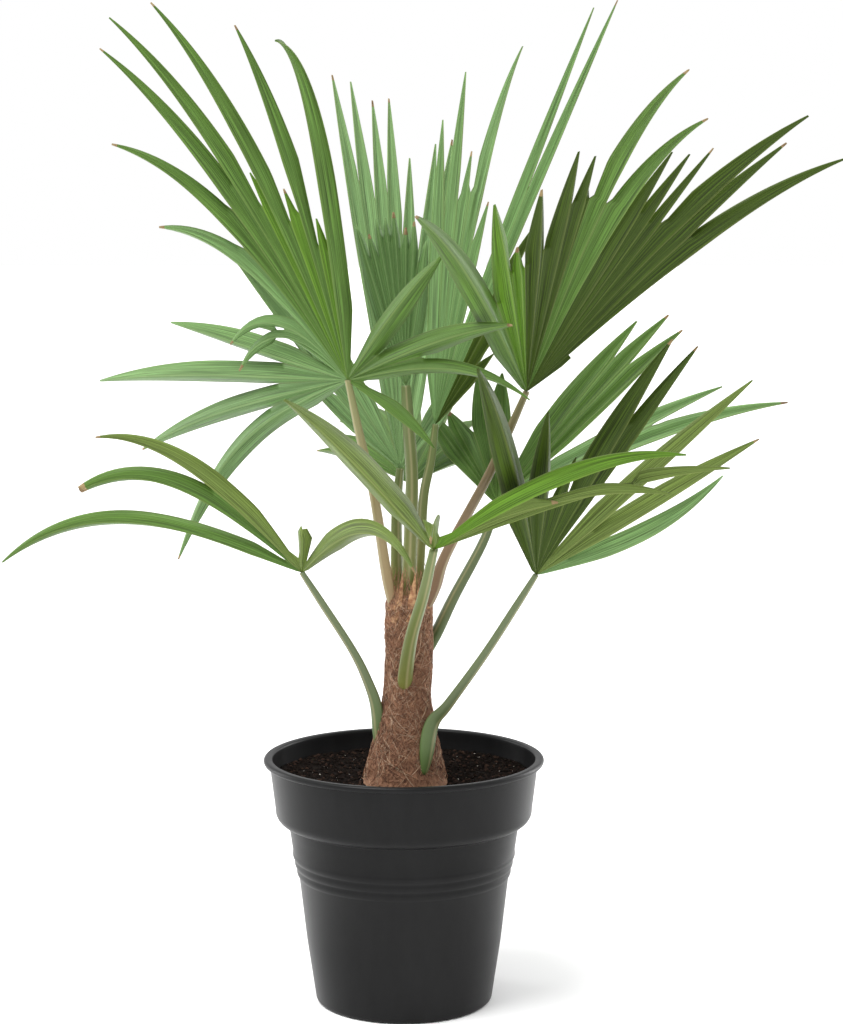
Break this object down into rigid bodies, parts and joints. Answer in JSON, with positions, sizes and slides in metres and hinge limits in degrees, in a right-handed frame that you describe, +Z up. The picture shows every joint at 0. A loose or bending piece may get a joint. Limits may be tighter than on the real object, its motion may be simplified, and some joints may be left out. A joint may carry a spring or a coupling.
{
  "type": "potted fan palm",
  "caption": "Young fan palm with a fibrous trunk and pleated fan fronds on long stalks, in a tapered charcoal plastic nursery pot.",
  "frame": {"origin": "centre of the flat underside of the pot", "axes": "+Z up along the pot's axis, +Y away from the front view, +X to the right of it"},
  "size_m": [0.7136, 0.6663, 0.8537],
  "materials": {
    "pot_plastic": "charcoal moulded plastic with a soft sheen",
    "potting_soil": "dark moist potting mix with a few pale grains",
    "trunk_fibre": "brown fibrous bark with pale strands",
    "stalk_green": "olive green stalk, browner and paler at the base",
    "leaf_green": "satin green pleated leaf with paler ribs and dry tan tips"
  },
  "bodies": {
    "root": {"pot": "pot_plastic", "soil": "potting_soil", "trunk": "trunk_fibre", "stalk_left_high": "stalk_green", "fan_left_high": "leaf_green", "stalk_centre_young": "stalk_green", "fan_centre_young": "leaf_green", "stalk_right_centre": "stalk_green", "fan_right_centre": "leaf_green", "stalk_right_high": "stalk_green", "fan_right_high": "leaf_green", "stalk_right_mid": "stalk_green", "fan_right_mid": "leaf_green", "stalk_right_low": "stalk_green", "fan_right_low": "leaf_green", "stalk_front": "stalk_green", "fan_front": "leaf_green", "stalk_left_low": "stalk_green", "fan_left_low": "leaf_green", "stalk_back_tall": "stalk_green", "fan_back_tall": "leaf_green", "stalk_back_low": "stalk_green", "fan_back_low": "leaf_green"}
  },
  "joints": []
}
